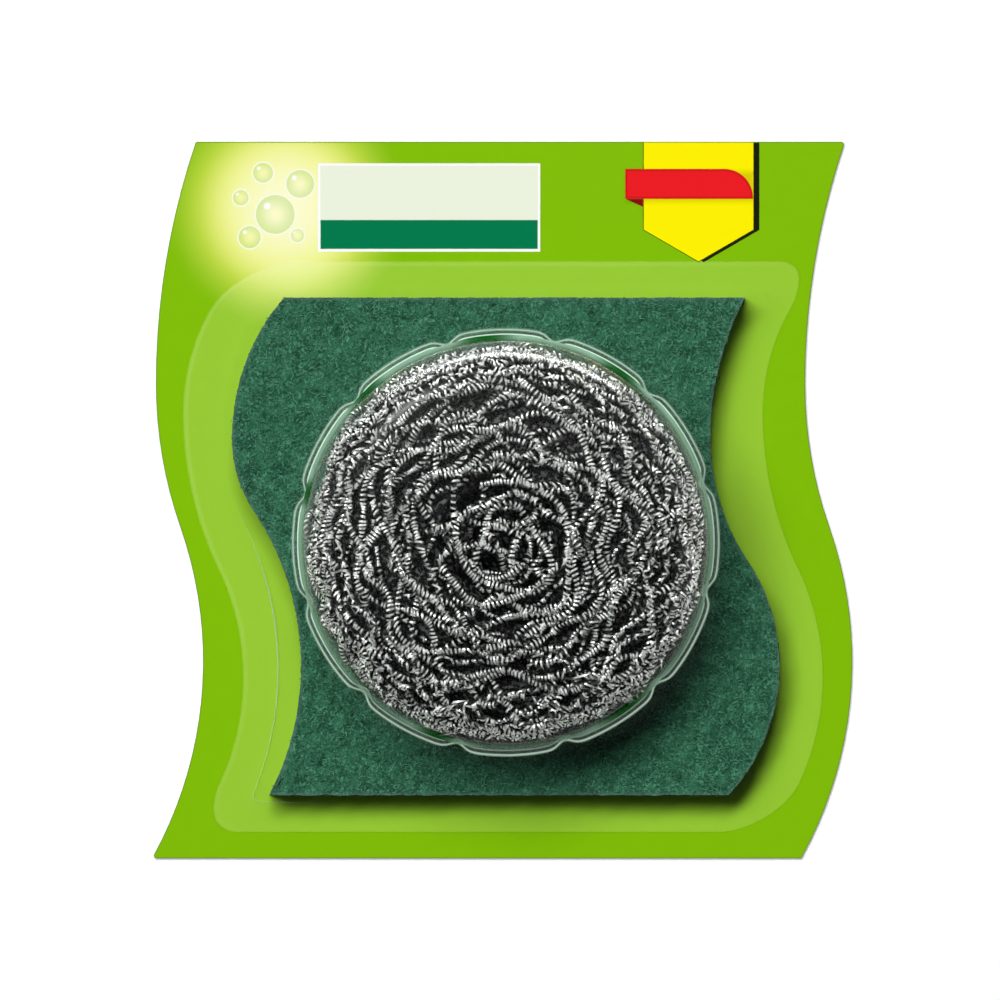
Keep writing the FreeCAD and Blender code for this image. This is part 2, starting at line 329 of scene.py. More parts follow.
def hiveSection(offset, place):
    # radius, height and slope angle of the section moved outward by offset, at a length from where the wall
    # turns into the shoulder: a straight wall below 0, then the shoulder's arc, then the crown's arc
    shoulder = hive["shoulder"] + offset
    crown = hive["crown"] + offset
    span = shoulder * (crownAngle - hive["draft"])
    onCrown = place > span
    angle = hive["draft"] + np.clip(place, 0, span) / shoulder
    angle = np.where(onCrown, crownAngle + (place - span) / crown, angle)
    size = np.where(onCrown, crown, shoulder)
    below = np.minimum(place, 0)
    radius = np.where(onCrown, crownCentre[0], shoulderCentre[0]) + size * np.cos(angle) + below * hiveUp[0]
    height = np.where(onCrown, crownCentre[1], shoulderCentre[1]) + size * np.sin(angle) + below * hiveUp[1]
    return radius, height, angle


# Backing card: printed board, kept as the CAD solid
card = {"outline": waveOf(0, 0, 116.9, 129.0, 8.5, 21, -29, 135, 73), "corner": 0.5,
        "cutFrom": 0.3, "cutFull": 0.05, "inkFrom": 0.08, "inkFull": 0.02,
        "lime": srgb(128, 188, 4), "limeFleck": srgb(131, 191, 8), "fleckSize": 3.0,
        "edge": srgb(112, 150, 40), "board": srgb(232, 230, 222),
        "boardFleck": srgb(205, 203, 196), "panel": srgb(157, 203, 55), "rimShadow": srgb(118, 166, 14),
        "rimHighlight": srgb(176, 214, 92), "glow": srgb(235, 242, 95), "glowCore": srgb(253, 253, 205)}
label = {"left": -33.5, "right": 6.5, "bottom": 44.7, "top": 60.6, "border": 0.42,
         "field": srgb(236, 243, 222), "white": srgb(255, 255, 255)}
labelBar = {"left": -33.05, "right": 6.05, "bottom": 45.2, "top": 50.4, "dark": srgb(0, 120, 75)}
pennant = {"left": 25.0, "right": 45.0, "shoulder": 48.6, "tip": 42.8, "line": 0.13,
           "yellow": srgb(255, 242, 0), "dark": srgb(20, 24, 8), "sideShift": 0.95}
ribbon = {"left": 21.8, "right": 44.8, "bottom": 54.2, "top": 59.6, "round": 5.2, "rimWidth": 0.35,
          "rimSoft": 0.25, "foldDrop": 1.45, "shadeX": 0.3, "shadeY": 0.5, "shadeSoft": 0.9,
          "shadeShare": 0.3, "red": srgb(237, 28, 36), "rim": srgb(205, 18, 28), "fold": srgb(130, 10, 16)}
ribbonFold = {"left": 21.8, "right": 25.0, "bottom": 52.2, "top": 54.2}
bubbles = {"x": -39.3, "y": 52.6, "glowFrom": 22.5, "glowFull": 8.6, "coreFrom": 16.8, "coreFull": 2.3,
           "panelGlow": 0.3, "filmShare": 0.42, "rim": 0.12, "rimShare": 0.85, "shineLeft": 0.4,
           "shineUp": 0.42, "shineSize": 0.17, "shineSoft": 0.2,
           "white": srgb(255, 255, 250), "film": srgb(150, 205, 60),
           "places": ((-41.2, 51.4, 3.6), (-45.8, 47.3, 2.1), (-47.4, 54.4, 1.5), (-36.7, 56.9, 2.6),
                      (-43.4, 58.9, 1.9), (-37.2, 47.6, 1.3))}
flange = {"outline": waveOf(-0.2, -8.4, 104.3, 102.7, 10.8, 24.0, -23.5, 38, 45), "corner": 9.0,
          "soft": 0.12, "turnSpan": 30, "highlightIn": 0.5, "highlightHalf": 0.3, "highlightSoft": 0.4,
          "highlightShare": 0.5, "shadowOut": 0.1, "shadowHalf": 0.1, "shadowSoft": 0.15, "shadowShare": 0.55}


def boxDistance(x, y, box):
    # how far a place lies outside an upright rectangle
    across = abs(x - (box["left"] + box["right"]) / 2) - (box["right"] - box["left"]) / 2
    along = abs(y - (box["bottom"] + box["top"]) / 2) - (box["top"] - box["bottom"]) / 2
    return larger(across, along)


def centreDistance(x, y, centreX, centreY):
    # how far a place lies from a point, as a shader value
    return ((x - centreX) ** 2 + (y - centreY) ** 2) ** 0.5


def inside(distance, soft=0.07):
    # 1 inside an outline and 0 outside, with a soft printed edge
    return ramp(distance, soft, -soft)


def pennantDistance(x, y, shift):
    # a banner with a pointed foot: between two uprights and above a V
    middle = (pennant["left"] + pennant["right"]) / 2 + shift
    half = (pennant["right"] - pennant["left"]) / 2
    slope = (pennant["shoulder"] - pennant["tip"]) / half
    side = abs(x - middle)
    foot = (side * slope + pennant["tip"] - y) / math.hypot(1, slope)
    return larger(side - half, foot)


def cardPrint(place):
    # the print on the front, layer over layer, with painted light and shade along the sealed field's rim,
    # and bare board on the back
    x = axis(place, 0)
    y = axis(place, 1)
    z = axis(place, 2)
    colour = tint(grain(place, card["fleckSize"]), card["lime"], card["limeFleck"])
    # paler field that the sheet is sealed to, with a painted highlight along its rim at the upper left
    # and a painted shadow line just outside it at the lower right
    beyond = waveDistance(x, y, flange["outline"], flange["corner"])
    field = inside(beyond, flange["soft"])
    lowerRight = ramp(x - y, -flange["turnSpan"], flange["turnSpan"])
    colour = tint(field, colour, card["panel"])
    # painted highlight on the rim, faded out towards the lower right
    light = inside(abs(beyond + flange["highlightIn"]) - flange["highlightHalf"], flange["highlightSoft"])
    colour = tint(light * (1 - lowerRight) * flange["highlightShare"], colour, card["rimHighlight"])
    # painted shadow line just outside the rim, only towards the lower right
    line = inside(abs(beyond - flange["shadowOut"]) - flange["shadowHalf"], flange["shadowSoft"])
    colour = tint(line * lowerRight * flange["shadowShare"], colour, card["rimShadow"])
    # soft light behind the bubbles, yellow and then nearly white
    away = centreDistance(x, y, bubbles["x"], bubbles["y"])
    glow = ramp(away, bubbles["glowFrom"], bubbles["glowFull"])
    colour = tint(glow, colour, card["glow"])
    colour = tint(ramp(away, bubbles["coreFrom"], bubbles["coreFull"]), colour, card["glowCore"])
    colour = tint(glow * field * bubbles["panelGlow"], colour, card["glowCore"])
    # soap bubbles, each a thin white ring, greener towards its rim, with a shine
    for bubbleX, bubbleY, size in bubbles["places"]:
        out = centreDistance(x, y, bubbleX, bubbleY) - size
        colour = tint(inside(out) * ramp(out, -size, 0.3) * bubbles["filmShare"], colour, bubbles["film"])
        colour = tint(inside(abs(out) - bubbles["rim"]) * bubbles["rimShare"], colour, bubbles["white"])
        shineX = bubbleX - size * bubbles["shineLeft"]
        shineY = bubbleY + size * bubbles["shineUp"]
        shine = centreDistance(x, y, shineX, shineY) - size * bubbles["shineSize"]
        colour = tint(inside(shine, bubbles["shineSoft"]), colour, bubbles["white"])
    # plain label with a white border and a dark bar
    labelEdge = boxDistance(x, y, label)
    colour = tint(inside(labelEdge), colour, label["white"])
    colour = tint(inside(labelEdge + label["border"]), colour, label["field"])
    colour = tint(inside(boxDistance(x, y, labelBar)), colour, labelBar["dark"])
    # yellow pennant with a dark side
    colour = tint(inside(pennantDistance(x, y, pennant["sideShift"])), colour, pennant["dark"])
    banner = pennantDistance(x, y, 0)
    colour = tint(inside(banner), colour, pennant["dark"])
    colour = tint(inside(banner + pennant["line"]), colour, pennant["yellow"])
    # red ribbon across it, rounded at the upper right and folded under at the left
    shade = inside(boxDistance(x - ribbon["shadeX"], y + ribbon["shadeY"], ribbon), ribbon["shadeSoft"])
    colour = tint(shade * ribbon["shadeShare"], colour, pennant["dark"])
    slope = ribbon["foldDrop"] / (ribbonFold["right"] - ribbonFold["left"])
    foldEdge = ribbon["bottom"] - (x - ribbon["left"]) * slope
    fold = inside(boxDistance(x, y, ribbonFold)) * inside(foldEdge - y)
    colour = tint(fold, colour, ribbon["fold"])
    cornerX = larger(x - (ribbon["right"] - ribbon["round"]), 0)
    cornerY = larger(y - (ribbon["top"] - ribbon["round"]), 0)
    bandEdge = larger(boxDistance(x, y, ribbon), (cornerX ** 2 + cornerY ** 2) ** 0.5 - ribbon["round"])
    colour = tint(inside(bandEdge), colour, ribbon["rim"])
    colour = tint(inside(bandEdge + ribbon["rimWidth"], ribbon["rimSoft"]), colour, ribbon["red"])
    # cut edge, bare board below the printed face
    cut = waveDistance(x, y, card["outline"], card["corner"])
    colour = tint(ramp(cut, -card["cutFrom"], -card["cutFull"]), colour, card["edge"])
    bare = tint(ramp(grain(place, 0.5, 4), 0.45, 0.7), card["board"], card["boardFleck"])
    printed = ramp(z, cardHigh[2] - card["inkFrom"], cardHigh[2] - card["inkFull"])
    colour = tint(printed, bare, colour)
    fibre = grain(place, 0.35, 3)
    rough = 0.66 - printed * 0.16 + (fibre - 0.5) * 0.12
    return surface(place, colour, rough, {"Specular IOR Level": 0.06, "Normal": bump(fibre, 0.2, 0.03)})


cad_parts["card"].data.materials.clear()
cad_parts["card"].data.materials.append(material("printed_board", cardPrint))
print("card printed")


# Scrub pad: a slab of crimped fibres
pad = {"outline": waveOf(0.3, -8.35, 86.0, 89.4, 12.4, 19.4, -21.5, 47, 42, 8.0), "corner": 0.0,
       "columns": 600, "topRows": 96, "sideRows": 12, "bottomRows": 36, "sink": 0.3, "rise": 0.2,
       "lump": 3.2, "smallLump": 1.3, "lumpShare": 0.6, "pull": 0.08, "pullIn": 0.05, "fineLump": 0.45,
       "dark": srgb(34, 80, 60), "middle": srgb(56, 114, 87), "thread": srgb(96, 160, 130),
       "cut": srgb(92, 122, 116), "sheenWidth": 0.8, "sheenShare": 0.75,
       "threads": ((1.5, (0.0, 0.0, 0.0)), (1.1, (0.031, 0.017, 0.009)), (0.8, (0.073, 0.041, 0.027)))}
fibres = {"top": 7400, "side": 2000, "back": 2200, "rings": 5, "sides": 3, "short": 0.8, "long": 2.0,
          "thick": 0.058, "taper": 0.5, "bow": 0.32, "low": 0.08, "high": 0.34, "highest": 0.42,
          "rimGap": 0.6, "backGap": 0.1, "sideSlant": 0.5, "sideRadius": 55, "sideSink": 0.25,
          "dark": srgb(32, 93, 66), "light": srgb(114, 182, 149)}


def threads(place, size, shift):
    # thin winding lines: the places where a smooth noise passes through its middle value
    moved = place.make("ShaderNodeVectorMath", {"operation": "ADD"}, {0: place, 1: shift})
    return ramp(abs(grain(moved, size, 1.0) - 0.5), 0.045, 0.0)


def padFelt(place):
    # green felt: lumps of two sizes and fine strands
    coarse = grain(place, pad["lump"], 3)
    fine = grain(place, pad["fineLump"], 3)
    colour = tint(ramp(coarse * 0.6 + fine * 0.4, 0.36, 0.62), pad["dark"], pad["middle"])
    strands = 0.0
    for size, shift in pad["threads"]:
        strands = larger(threads(place, size, shift), strands)
    colour = tint(strands * ramp(fine, 0.3, 0.6) * 0.75, colour, pad["thread"])
    # greyer rim round the outline: a painted sheen of light on the fuzzy cut edge
    beyond = waveDistance(axis(place, 0), axis(place, 1), pad["outline"], pad["corner"])
    colour = tint(ramp(beyond, -pad["sheenWidth"], 0) * pad["sheenShare"], colour, pad["cut"])
    relief = bump(fine * 0.6 + strands * 0.4, 0.9, 0.35)
    return surface(place, colour, 0.9, {"Specular IOR Level": 0.05, "Normal": relief})


def fibreNylon(place):
    # each fibre has a shade of its own
    colour = tint(vertexValue(place, "shade"), fibres["dark"], fibres["light"])
    return surface(place, colour, 0.6, {"Specular IOR Level": 0.1})


def padAngles():
    # even angles round the ball's axis, with the four that point at the pad's corners put in
    wave = pad["outline"]
    rows = wave["y"] + wave["half"] * np.array([1, -1])
    corners = [np.arctan2(rows - axisY, waveSide(rows, wave, way) - axisX) for way in (1, -1)]
    even = np.linspace(-math.pi, math.pi, pad["columns"] - 4, endpoint=False)
    return np.sort(np.concatenate([even] + corners))


def padSlab():
    # rings drawn in from the outline to the middle on top, straight down the side, and in again below
    angle = padAngles()
    reach = waveReach(angle, pad["outline"], pad["corner"])
    low = padLow[2]
    high = padHigh[2] - pad["sink"]
    topShare = np.linspace(0, 1, pad["topRows"] + 1)[1:]
    sideDrop = np.linspace(0, 1, pad["sideRows"] + 2)[1:-1]
    bottomShare = np.linspace(1, 0, pad["bottomRows"] + 1)[:-1]
    share = np.concatenate([topShare, np.ones(pad["sideRows"]), bottomShare])
    height = np.concatenate([np.full(pad["topRows"], high), high + (low - high) * sideDrop,
                             np.full(pad["bottomRows"], low)])
    points = withPoles(roundAxis(share[:, None] * reach, angle, height[:, None]), high, low)
    # felt surface: lumps raise the top and pull the sides in
    felt = pad["lumpShare"] * lumps(points, pad["lump"], 11)
    felt = felt + (1 - pad["lumpShare"]) * lumps(points, pad["smallLump"], 12)
    near = 0.01
    onTop = points[:, 2] > high - near
    onSide = (points[:, 2] < high + near) & (points[:, 2] > low + near)
    points[:, 2] += np.where(onTop, pad["rise"] * felt, 0)
    outwardWay = unit(points[:, :2] - np.array([axisX, axisY]) + 1e-9)
    pull = np.where(onSide, pad["pull"] * felt - pad["pullIn"], 0)
    points[:, :2] += outwardWay * pull[:, None]
    points[:, 2] = np.maximum(points[:, 2], low)
    return points


def fibreTubes(count, seed, zone):
    # short bowed tubes: each follows a parabola in a plane of its own, and its ends dip into the felt
    draw = np.random.default_rng(seed)
    wave = pad["outline"]
    y = wave["y"] + draw.uniform(-1, 1, count) * (wave["half"] - fibres["rimGap"])
    left = waveSide(y, wave, 1)
    x = left + draw.uniform(0.004, 0.996, count) * (waveSide(y, wave, -1) - left)
    heading = draw.uniform(0, 2 * math.pi, count)
    length = draw.uniform(fibres["short"], fibres["long"], count)
    bow = draw.normal(0, fibres["bow"], count) * length
    lift = draw.uniform(fibres["low"], fibres["high"], count)
    along = np.linspace(-1, 1, fibres["rings"])
    way = np.stack([np.cos(heading), np.sin(heading)], axis=-1)
    across = np.stack([-way[:, 1], way[:, 0]], axis=-1)
    flat = np.stack([x, y], axis=-1)[:, None] + way[:, None] * (along[:, None] * length[:, None, None] / 2)
    flat = flat + across[:, None] * ((along ** 2 - 0.4)[:, None] * bow[:, None, None])
    arch = lift[:, None] * (1 - 1.5 * along ** 2)
    if zone == "top":
        height = padHigh[2] - pad["sink"] + np.minimum(arch, fibres["highest"])
    else:
        height = padLow[2] + fibres["backGap"] + np.abs(arch)
    line = np.concatenate([flat, height[..., None]], axis=-1)
    if zone == "side":
        line = sideFibres(line, draw, along, length, lift)
    tangent = unit(np.gradient(line, axis=1))
    sideways = unit(np.cross(tangent, np.array([0.13, 0.21, 1.0])))
    upward = np.cross(sideways, tangent)
    turn = np.arange(fibres["sides"]) * 2 * math.pi / fibres["sides"]
    thick = fibres["thick"] * draw.uniform(0.7, 1.3, count)[:, None, None, None]
    thick = thick * (1 - fibres["taper"] * along[None, :, None, None] ** 2)
    ring = np.cos(turn)[:, None] * sideways[:, :, None] + np.sin(turn)[:, None] * upward[:, :, None]
    rings = line[:, :, None] + thick * ring
    shade = np.broadcast_to(draw.uniform(0, 1, count)[:, None, None] ** 1.4, rings.shape[:3])
    return rings.reshape(-1, 3), shade


def sideFibres(line, draw, along, length, lift):
    # the same bowed lines stood against the slab's side, at random heights, following its outline
    count = len(line)
    angle = draw.uniform(0, 2 * math.pi, count)
    height = draw.uniform(padLow[2] + 0.3, padHigh[2] - 0.7, count)
    slant = draw.normal(0, fibres["sideSlant"], count)
    bend = angle[:, None] + along * (length / 2 * np.cos(slant) / fibres["sideRadius"])[:, None]
    reach = waveReach(bend.ravel(), pad["outline"], pad["corner"]).reshape(bend.shape)
    reach = reach - fibres["sideSink"] + lift[:, None] * (1 - 1.6 * along ** 2)
    rise = height[:, None] + along * (length / 2 * np.sin(slant))[:, None]
    return roundAxis(reach, bend, np.clip(rise, padLow[2] + fibres["backGap"], padHigh[2] - pad["sink"]))


felt = material("scrub_felt", padFelt)
nylon = material("scrub_fibre", fibreNylon)
slabRows = pad["topRows"] + pad["sideRows"] + pad["bottomRows"]
slab = addPiece("scrub_pad_slab", padSlab(), ringFaces(slabRows, pad["columns"]), felt)
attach(slab, "pad")
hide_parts("scrub_pad")
for seed, zone in enumerate(("top", "side", "back"), 21):
    count = fibres[zone]
    points, shade = fibreTubes(count, seed, zone)
    tuft = addPiece("pad_fibres_" + zone, points, tubeFaces(count, fibres["rings"], fibres["sides"]), nylon,
                    sharp=180, values={"shade": shade})
    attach(tuft, "pad")
print("pad felted")


# Steel ball: curled ribbon with painted light and shade, wound in laps over a black tangle painted as shade
winding = {"pitch": 4.8, "tube": 1.8, "startAngle": math.radians(200), "innerRadius": 12.0, "strands": 5,
           "endGap": 0.6, "looseFrom": 3}
curl = {"spread": 0.2, "spreadSize": 3.5, "pitch": 0.66, "segments": 8, "width": 0.36, "thick": 0.06,
        "upward": 0.8, "dipSize": 13, "slip": 1.3, "slipSize": 6, "swing": 2.2, "swingSize": 9,
        "floorGap": 0.02}
outerLaps = {"plies": 3, "plyGap": 1.6, "lift": 0.85, "curl": 0.66, "sway": 0.7, "swaySize": 10.0,
             "dip": 0.45, "lean": 1.1, "leanSize": 3.0}
innerLaps = {"plies": 3, "plyGap": 1.6, "lift": 0.6, "curl": 0.76, "sway": 1.6, "swaySize": 19.0,
             "dip": 0.8, "lean": 0.6, "leanSize": 8.0}
steel = {"bright": (0.97, 0.97, 0.96, 1.0), "dull": (0.42, 0.42, 0.42, 1.0),
         "shade": (0.09, 0.09, 0.091, 1.0), "core": (0.008, 0.008, 0.0085, 1.0),
         "coreKnots": (0.12, 0.12, 0.121, 1.0), "clump": 4.0, "rolled": 1.2, "scuff": 0.5, "knot": 0.8}


def ribbonSteel(place):
    # painted light and shade: bright where a curl faces out and up, painted shade on its flanks and inside
    clumps = ramp(grain(place, steel["clump"]), 0.36, 0.6)
    rolled = ramp(grain(place, steel["rolled"], 3), 0.35, 0.65) * (0.35 + clumps * 0.65)
    bright = tint(rolled, steel["dull"], steel["bright"])
    colour = tint(ramp(vertexValue(place, "top"), 0.05, 0.95), steel["shade"], bright)
    return surface(place, colour, 0.26 + grain(place, steel["scuff"]) * 0.16, {"Metallic": 1.0})


def shadedTangle(place):
    # painted shade: black where the tangle's inside lies in shade, with dim flecks of the strands behind
    knots = grain(place, steel["knot"], 1)
    colour = tint(ramp(knots, 0.5, 0.64), steel["core"], steel["coreKnots"])
    return surface(place, colour, 0.7, {"Specular IOR Level": 0.1, "Normal": bump(knots, 0.8, 0.6)})


def sway(lengths, size, seed):
    # a wandering line of about -1 to 1 along a length
    return lumps(lengths[:, None], size, seed, waves=8)


def evenly(path, spacing):
    # parameters at which a path, a function of an array, is walked in equal steps
    fine = np.linspace(0, 1, 8000)
    steps = np.linalg.norm(np.diff(path(fine)[0], axis=0), axis=-1)
    run = np.concatenate([[0], np.cumsum(steps)])
    count = int(run[-1] / spacing)
    lengths = np.linspace(0, run[-1], count)
    return np.interp(lengths, run, fine), lengths


def lapPath(first, last, offset, pitch=winding["pitch"], startAngle=winding["startAngle"]):
    # a spiral on the beehive that climbs one pitch along the section in each turn, clockwise if negative
    def path(share):
        place = first + (last - first) * share
        radius, height, slope = hiveSection(offset, place)
        turn = startAngle + 2 * math.pi * (place - hiveFoot(-winding["tube"])) / pitch
        flat = np.cos(slope)
        normals = np.stack([flat * np.cos(turn), flat * np.sin(turn), np.sin(slope)], axis=-1)
        return roundAxis(radius, turn, height), normals

    return path


def hiveFoot(offset):
    # the place on the moved wall that is one offset above the ball's underside
    foot = np.array([hive["radius"], hive["bottom"]]) + offset * hiveOut
    climb = (hive["bottom"] - offset - foot[1]) / hiveUp[1]
    return climb - wallLength


def hiveEnd(offset, radius):
    # the place on the moved crown that is a radius from the axis
    span = (hive["shoulder"] + offset) * (crownAngle - hive["draft"])
    return span + (hive["crown"] + offset) * (math.acos(radius / (hive["crown"] + offset)) - crownAngle)


def curledRibbon(path, seed, laps, aside=0.0, depthShade=0.0):
    # a flat ribbon carried round a helix whose axis wanders about a path, its flat side facing out; the
    # second value is painted light: how far each corner faces out of the ball and up, from -1 to 1, with
    # the inner face in painted shade and less in buried laps, a painted depth shade
    places, lengths = evenly(path, curl["pitch"] / curl["segments"])
    points, normals = path(places)
    tangent = unit(np.gradient(points, axis=0))
    across = unit(np.cross(normals, tangent))
    points = points + across * (aside + laps["sway"] * sway(lengths, laps["swaySize"], seed))[:, None]
    rise = laps["lift"] + laps["dip"] * sway(lengths, curl["dipSize"], seed + 1)
    points = points + normals * rise[:, None]
    tangent = unit(np.gradient(points, axis=0))
    normals = unit(normals - tangent * np.einsum("ij,ij->i", normals, tangent)[:, None])
    across = np.cross(tangent, normals)
    turn = 2 * math.pi * lengths / curl["pitch"] + curl["slip"] * sway(lengths, curl["slipSize"], seed + 2)
    radius = laps["curl"] * (1 + curl["spread"] * sway(lengths, curl["spreadSize"], seed + 3))
    out = np.cos(turn)[:, None] * normals + np.sin(turn)[:, None] * across
    lean = laps["lean"] * sway(lengths, laps["leanSize"], seed + 4)
    swing = curl["swing"] * sway(lengths, curl["swingSize"], seed + 5)
    line = points + out * radius[:, None] + tangent * (radius * lean * np.cos(turn + swing))[:, None]
    run = unit(np.gradient(line, axis=0))
    wide = unit(np.cross(run, out))
    face = np.cross(wide, run)
    wide = wide * curl["width"] / 2
    face = face * curl["thick"] / 2
    corners = [line + wide + face, line - wide + face, line - wide - face, line + wide - face]
    rings = np.stack(corners, axis=1)
    rings[..., 2] = np.maximum(rings[..., 2], hive["bottom"] + curl["floorGap"])
    # painted light from outside and above: corners that face that way are lit, the inner face is in full
    # painted shade
    paintedLightWay = unit(normals + np.array([0.0, 0.0, curl["upward"]]))
    facing = np.einsum("ij,ij->i", out, paintedLightWay)
    top = np.stack([facing, facing, -np.ones_like(turn), -np.ones_like(turn)], axis=1) - depthShade
    return rings, top


def addRibbons(name, ribbons):
    # one piece of several ribbons, each a tube of four sides
    starts = np.cumsum([0] + [len(rings) * 4 for rings, top in ribbons])
    faces = []
    for (rings, top), start in zip(ribbons, starts):
        faces += [group + start for group in tubeFaces(1, len(rings), 4)]
    points = np.concatenate([rings.reshape(-1, 3) for rings, top in ribbons])
    tops = np.concatenate([top.ravel() for rings, top in ribbons])
    piece = addPiece(name, points, [np.concatenate(faces)], ribbonFinish, sharp=55, values={"top": tops})
    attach(piece, "scrubber")
    return piece


ribbonFinish = material("ribbon_steel", ribbonSteel)
firstPlace = hiveFoot(-winding["tube"])
lastPlace = hiveEnd(-winding["tube"], winding["innerRadius"])
for i in range(winding["strands"]):
    ends = firstPlace + (lastPlace - firstPlace) * np.array([i, i + 1]) / winding["strands"]
    trim = winding["pitch"] * winding["endGap"] / (2 * math.pi * hiveSection(-winding["tube"], ends)[0])
    path = lapPath(ends[0] + trim[0], ends[1] - trim[1], -winding["tube"])
    laps = innerLaps if i >= winding["looseFrom"] else outerLaps
    ribbons = []
    for ply in range(laps["plies"]):
        aside = laps["plyGap"] * (ply - (laps["plies"] - 1) / 2)
        ribbons.append(curledRibbon(path, 200 + 40 * i + 10 * ply, laps, aside))
    name = "strand_" + str(i + 1)
    strand = addRibbons(name + "_ribbon", ribbons)
    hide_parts(name)
print("strands wound")

centre = {"outer": 11.3, "inner": 1.6, "turns": 3.5, "oval": 0.12, "ovalTurn": 9, "drift": 0.6,
          "driftX": 5, "driftY": 7, "dish": 1.8, "wellRadius": 6.4, "wellTurns": 1.5, "wellDepth": 2.6,
          "wheel": 5.4, "loop": 3.4, "loopTurns": 2.0, "loopRate": -1.7, "loopStart": 0.6, "loopDepth": 3.6,
          "loopRise": 0.8, "lift": 0.5, "curl": 0.8, "sway": 0.45, "swaySize": 12.0, "dip": 0.4,
          "lean": 0.5, "leanSize": 7.0}


def levelLine(points, up=1.0):
    # a path's points with normals that all point straight up, or down
    return points, np.broadcast_to(np.array([0.0, 0.0, up]), points.shape)


def centrePath(share):
    # a wandering spiral in from the last lap: the radius shrinks evenly and swells twice a turn, the middle
    # drifts off the axis, and the line sinks into a dish
    angle = winding["startAngle"] + 2 * math.pi * centre["turns"] * share
    radius = centre["outer"] + (centre["inner"] - centre["outer"]) * share
    radius = radius * (1 + centre["oval"] * np.sin(2 * angle + centre["ovalTurn"] * share))
    x = radius * np.cos(angle) + centre["drift"] * np.sin(centre["driftX"] * share)
    y = radius * np.sin(angle) + centre["drift"] * np.cos(centre["driftY"] * share) - centre["drift"]
    height = hive["top"] - winding["tube"] - centre["dish"] * np.sin(share * math.pi / 2) ** 2
    return levelLine(np.stack([axisX + x, axisY + y, height], axis=-1))


def wellPath(share):
    # a helix that goes down into the ball below the spiral
    angle = winding["startAngle"] + 2 * math.pi * centre["wellTurns"] * share
    depth = centre["wellDepth"] * winding["tube"]
    height = hive["top"] - depth - winding["pitch"] * centre["wellTurns"] * share
    return levelLine(roundAxis(centre["wellRadius"], angle, height))


def loopPath(share):
    # loops below the spiral: a point on a small wheel that turns back while its middle goes round the axis
    angle = 2 * math.pi * centre["loopTurns"] * share
    back = centre["loopRate"] * angle + centre["loopStart"]
    x = centre["wheel"] * np.cos(angle) + centre["loop"] * np.cos(back)
    y = centre["wheel"] * np.sin(angle) + centre["loop"] * np.sin(back)
    height = hive["top"] - centre["loopDepth"] - centre["loopRise"] * np.sin(3 * angle)
    return levelLine(np.stack([axisX + x, axisY + y, height], axis=-1))


# the loop and the well lie deeper and are painted darker, a painted depth shade
coils = [curledRibbon(centrePath, 95, centre), curledRibbon(loopPath, 135, centre, depthShade=0.1),
         curledRibbon(wellPath, 105, centre, depthShade=0.3)]
rosette = addRibbons("centre_coil_ribbon", coils)
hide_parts("centre_coil")

# Laps below the outer ones: one half a pitch aside, and two wound the other way across them
fill = {"depth": 1.5, "crossDepth": 1.7, "crossPitch": -17.0, "crossings": 2, "depthShade": 0.25, "beyond": 4.5}
fillPath = lapPath(firstPlace + winding["pitch"] / 2, lastPlace + fill["beyond"],
                   -winding["tube"] - fill["depth"])
# the half-pitch lap below is painted darker, a painted depth shade
fillRibbons = [curledRibbon(fillPath, 110, outerLaps, depthShade=fill["depthShade"])]
for k in range(fill["crossings"]):
    crossing = lapPath(firstPlace, lastPlace, -fill["crossDepth"], fill["crossPitch"], math.pi * k)
    fillRibbons.append(curledRibbon(crossing, 120 + 10 * k, innerLaps))
addRibbons("inner_laps_ribbon", fillRibbons)

underLaps = {"rimGap": 3.5, "middle": 2.5, "rise": 1.5, "lift": 0.0, "curl": 0.95, "sway": 0.9,
             "swaySize": 24.0, "dip": 0.2, "lean": 0.5, "leanSize": 7.0}


def undersidePath(share):
    # a flat spiral under the ball, from its rim to its middle
    radius = (hive["radius"] - underLaps["rimGap"]) * (1 - share) + underLaps["middle"] * share
    angle = 2 * math.pi * (hive["radius"] - radius) / winding["pitch"]
    return levelLine(roundAxis(radius, angle, hive["bottom"] + underLaps["rise"]), -1.0)


addRibbons("underside_ribbon", [curledRibbon(undersidePath, 150, underLaps)])

tangle = {"columns": 240, "rows": 90, "underRows": 24, "depth": 3.6, "ridge": 0.35, "pole": 0.6,
          "rise": 2.0, "underGap": 0.4, "wellRadius": 12, "wellSlope": 3, "wellDepth": 5.5}


def tangleBody():
    # the beehive drawn in below the laps, with a low ridge under each lap, closed by a flat underside
    angle = np.linspace(0, 2 * math.pi, tangle["columns"], endpoint=False)
    offset = -tangle["depth"]
    place = np.linspace(hiveEnd(offset, tangle["pole"]), hiveFoot(offset) + offset, tangle["rows"])
    radius, height, slope = hiveSection(offset, place)
    wellDrop = tangle["wellDepth"] * np.clip((tangle["wellRadius"] - radius) / tangle["wellSlope"], 0, 1)
    ridge = tangle["ridge"] * np.sin(2 * math.pi * place[:, None] / winding["pitch"] * 2 - 2 * angle)
    reach = radius[:, None] + ridge * np.cos(slope)[:, None]
    rise = (height - wellDrop)[:, None] + ridge * np.sin(slope)[:, None]
    floor = hive["bottom"] + tangle["rise"]
    under = np.linspace(radius[-1] - tangle["underGap"], tangle["pole"], tangle["underRows"])
    under = under[:, None] * np.ones_like(angle)
    reach = np.concatenate([reach, under])
    rise = np.concatenate([np.maximum(rise, floor), np.full_like(under, floor)])
    points = withPoles(roundAxis(reach, angle, rise), rise[0].mean(), floor)
    return points, ringFaces(len(reach), tangle["columns"])


core = addPiece("inner_laps_core", *tangleBody(), material("shaded_tangle", shadedTangle))
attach(core, "scrubber")
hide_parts("inner_laps")
print("ball wound")


